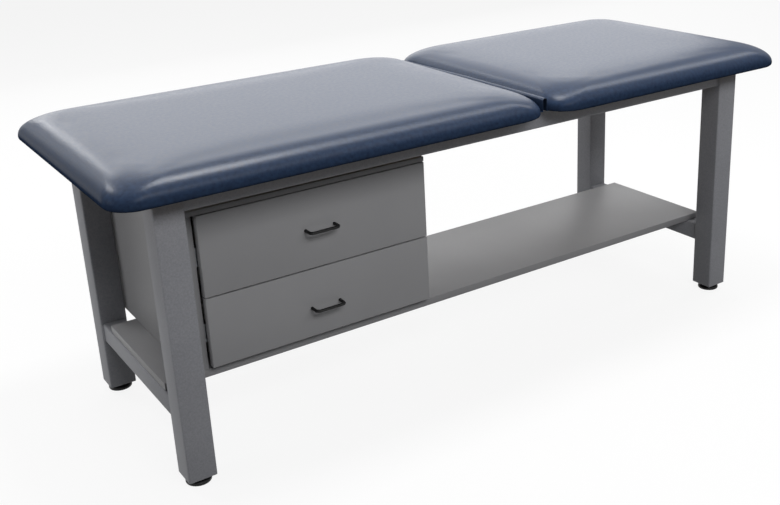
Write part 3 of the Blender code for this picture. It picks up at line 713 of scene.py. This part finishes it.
# Levelling feet: a moulded pad with a rounded rim and a stepped neck under each leg.
footLook = {
    "rim": 0.030, "neck": 0.017, "height": 0.0177, "stem": 0.005, "stemTop": 0.062, "steps": 48,
    # in from the rim, and height
    "rimCurve": ((0.0022, 0.0), (0.0007, 0.0006), (0.0, 0.0021), (0.0, 0.0058), (0.0006, 0.0074),
                 (0.0022, 0.0086), (0.0072, 0.0108)),
    # out from the neck, and height
    "neckCurve": ((0.0026, 0.0130), (0.0006, 0.0146), (0.0, 0.0160)),
}


def makeFoot(node, body):
    look = footLook
    low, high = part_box(node)
    centre = (low + high) / 2
    neck, height, stem, top = look["neck"], look["height"], look["stem"], look["stemTop"]
    profile = [(0.0, 0.0)]
    profile += [(look["rim"] - inward, z) for inward, z in look["rimCurve"]]
    profile += [(neck + outward, z) for outward, z in look["neckCurve"]]
    profile += [(neck, height), (stem, height), (stem, top), (0.0, top)]
    shape = bmesh.new()
    verts = [shape.verts.new((centre.x + x, centre.y, low.z + z)) for x, z in profile]
    edges = [shape.edges.new(pair) for pair in zip(verts, verts[1:])]
    bmesh.ops.spin(
        shape, geom=verts + edges, cent=(centre.x, centre.y, low.z), axis=(0.0, 0.0, 1.0),
        angle=2 * math.pi, steps=look["steps"], use_merge=True,
    )
    bmesh.ops.remove_doubles(shape, verts=shape.verts[:], dist=tiny)
    keepPiece(shape, node + "_glide", [blackPlastic], body, [node])


for end in ("front", "back"):
    for side in ("left", "right"):
        makeFoot(end + "_" + side + "_foot", "foot_" + end + "_" + side)
print("feet made")

# Studio: a wide pale floor, a dim even room that is seen paler than it lights, and fourteen
# soft boxes, most of them above. The flat top of the vinyl mirrors the wide boxes at the back,
# and the panels and strips draw the lines of light along its rolls and creases.
studioLook = {
    "floorSize": 60.0, "floorCells": 8, "floorSeen": "#e4e4e4", "floorBounce": "#606060",
    "floorGlow": 0.88, "roomLight": 0.15, "roomSeen": 0.5, "white": "#ffffff",
    "boxes": (
        # name, place, aim, size, radiance
        ("overhead_box", (0.5, 0.35, 3.4), (0.5, 0.35, 0.7), (5.8, 2.2), 0.25),
        ("overhead_panel", (0.05, -0.05, 3.3), (0.05, -0.05, 0.7), (0.9, 0.7), 24.0),
        ("overhead_mid_panel", (1.4, -0.05, 3.3), (1.4, -0.05, 0.7), (1.5, 0.6), 7.0),
        ("overhead_right_panel", (3.2, 0.0, 3.3), (3.2, 0.0, 0.7), (2.2, 0.6), 7.0),
        ("back_mid_strip", (0.2, 2.95, 3.3), (0.2, 2.95, 0.7), (0.3, 1.2), 9.0),
        ("left_panel", (-1.95, 2.6, 3.3), (-1.95, 2.6, 0.7), (0.45, 1.6), 18.0),
        ("front_box", (1.9, -3.4, 3.2), (0.0, -0.3, 0.5), (2.6, 1.8), 2.0),
        ("front_fill_box", (-0.65, -4.2, 3.6), (-0.3, -0.2, 0.4), (2.6, 1.4), 9.5),
        ("left_box", (-4.6, 0.7, 1.5), (-0.9, 0.1, 0.5), (1.6, 1.8), 4.2),
        ("back_box", (2.75, 4.2, 2.0), (2.75, 0.0, 1.6), (6.5, 2.6), 1.4),
        ("back_top_box", (2.75, 4.2, 4.3), (2.75, 0.0, 1.6), (6.5, 1.8), 1.2),
        ("back_strip", (-0.68, 4.1, 2.4), (-0.9, 0.0, 0.76), (0.42, 1.6), 5.0),
        ("back_side_box", (-1.6, 4.3, 2.0), (-1.0, 0.0, 0.76), (1.6, 2.0), 0.15),
        ("back_side_strip", (-1.8, 4.2, 2.1), (-1.0, 0.0, 0.76), (0.4, 1.6), 1.2),
    ),
}


def seenShare(tree):
    # 1 for camera, glossy and transmission rays, which see the studio nearly white
    path = addNode(tree, "ShaderNodeLightPath")
    some = addNode(tree, "ShaderNodeMath", {"operation": "MAXIMUM"},
                   {0: path.outputs["Is Camera Ray"], 1: path.outputs["Is Glossy Ray"]})
    return addNode(tree, "ShaderNodeMath", {"operation": "MAXIMUM"},
                   {0: some.outputs[0], 1: path.outputs["Is Transmission Ray"]}).outputs[0]


# Matt floor paint: an even pale ground that glows a little where it is seen, so that only soft
# shadows show on it.
def makeFloorPaint():
    look = studioLook
    paint = bpy.data.materials.new("pale_floor_paint")
    paint.use_nodes = True
    tree = paint.node_tree
    tree.nodes.clear()
    seen = seenShare(tree)
    share = addNode(tree, "ShaderNodeMath", {"operation": "MULTIPLY", 1: look["floorGlow"]}, {0: seen})
    tone = addNode(
        tree, "ShaderNodeMix",
        {"data_type": "RGBA", 6: linear(look["floorBounce"]), 7: linear(look["floorSeen"])}, {0: seen},
    )
    matt = addNode(tree, "ShaderNodeBsdfDiffuse", links={"Color": tone.outputs[2]})
    glow = addNode(tree, "ShaderNodeEmission", {"Color": linear(look["white"]), "Strength": 1.0})
    both = addNode(tree, "ShaderNodeMixShader",
                   links={0: share.outputs[0], 1: matt.outputs[0], 2: glow.outputs[0]})
    addNode(tree, "ShaderNodeOutputMaterial", links={"Surface": both.outputs[0]})
    return paint


def makeStudio():
    look = studioLook
    shape = bmesh.new()
    cells = look["floorCells"]
    bmesh.ops.create_grid(shape, x_segments=cells, y_segments=cells, size=look["floorSize"] / 2)
    mesh = bpy.data.meshes.new("floor")
    shape.to_mesh(mesh)
    shape.free()
    mesh.materials.append(makeFloorPaint())
    floor = bpy.data.objects.new("floor", mesh)
    bpy.context.scene.collection.objects.link(floor)

    world = bpy.data.worlds.new("studio")
    world.use_nodes = True
    bpy.context.scene.world = world
    tree = world.node_tree
    room = tree.nodes["Background"]
    room.inputs["Color"].default_value = linear(look["white"])
    bright = addNode(tree, "ShaderNodeMapRange", {"To Min": look["roomLight"], "To Max": look["roomSeen"]},
                     {"Value": seenShare(tree)})
    tree.links.new(bright.outputs["Result"], room.inputs["Strength"])

    for name, place, aim, size, radiance in look["boxes"]:
        lamp = bpy.data.lights.new(name, "AREA")
        lamp.shape = "RECTANGLE"
        lamp.size, lamp.size_y = size
        lamp.energy = radiance * math.pi * size[0] * size[1]
        holder = bpy.data.objects.new(name, lamp)
        bpy.context.scene.collection.objects.link(holder)
        turn = (Vector(aim) - Vector(place)).to_track_quat("-Z", "Y").to_matrix().to_4x4()
        holder.matrix_world = Matrix.Translation(place) @ turn
        holder.visible_camera = False


makeStudio()
print("studio made")

# Camera at the photo's place. Its shift puts the object where the photo's frame has it.
cameraLook = {
    "place": (-1.508, -2.299, 1.383), "pan": -0.592, "tilt": 1.2246, "roll": -0.038,
    "lens": 48.49, "sensor": 36.0, "shift": (-0.0672, -0.0605), "clipEnd": 200.0,
}


def makeCamera():
    look = cameraLook
    optics = bpy.data.cameras.new("camera")
    optics.sensor_fit = "HORIZONTAL"
    optics.sensor_width = look["sensor"]
    optics.lens = look["lens"]
    optics.shift_x, optics.shift_y = look["shift"]
    optics.clip_end = look["clipEnd"]
    holder = bpy.data.objects.new("camera", optics)
    bpy.context.scene.collection.objects.link(holder)
    turn = Matrix.Rotation(look["pan"], 4, "Z") @ Matrix.Rotation(look["tilt"], 4, "X")
    holder.matrix_world = Matrix.Translation(look["place"]) @ turn @ Matrix.Rotation(look["roll"], 4, "Z")
    bpy.context.scene.camera = holder


makeCamera()
bpy.context.scene.view_settings.view_transform = "Standard"
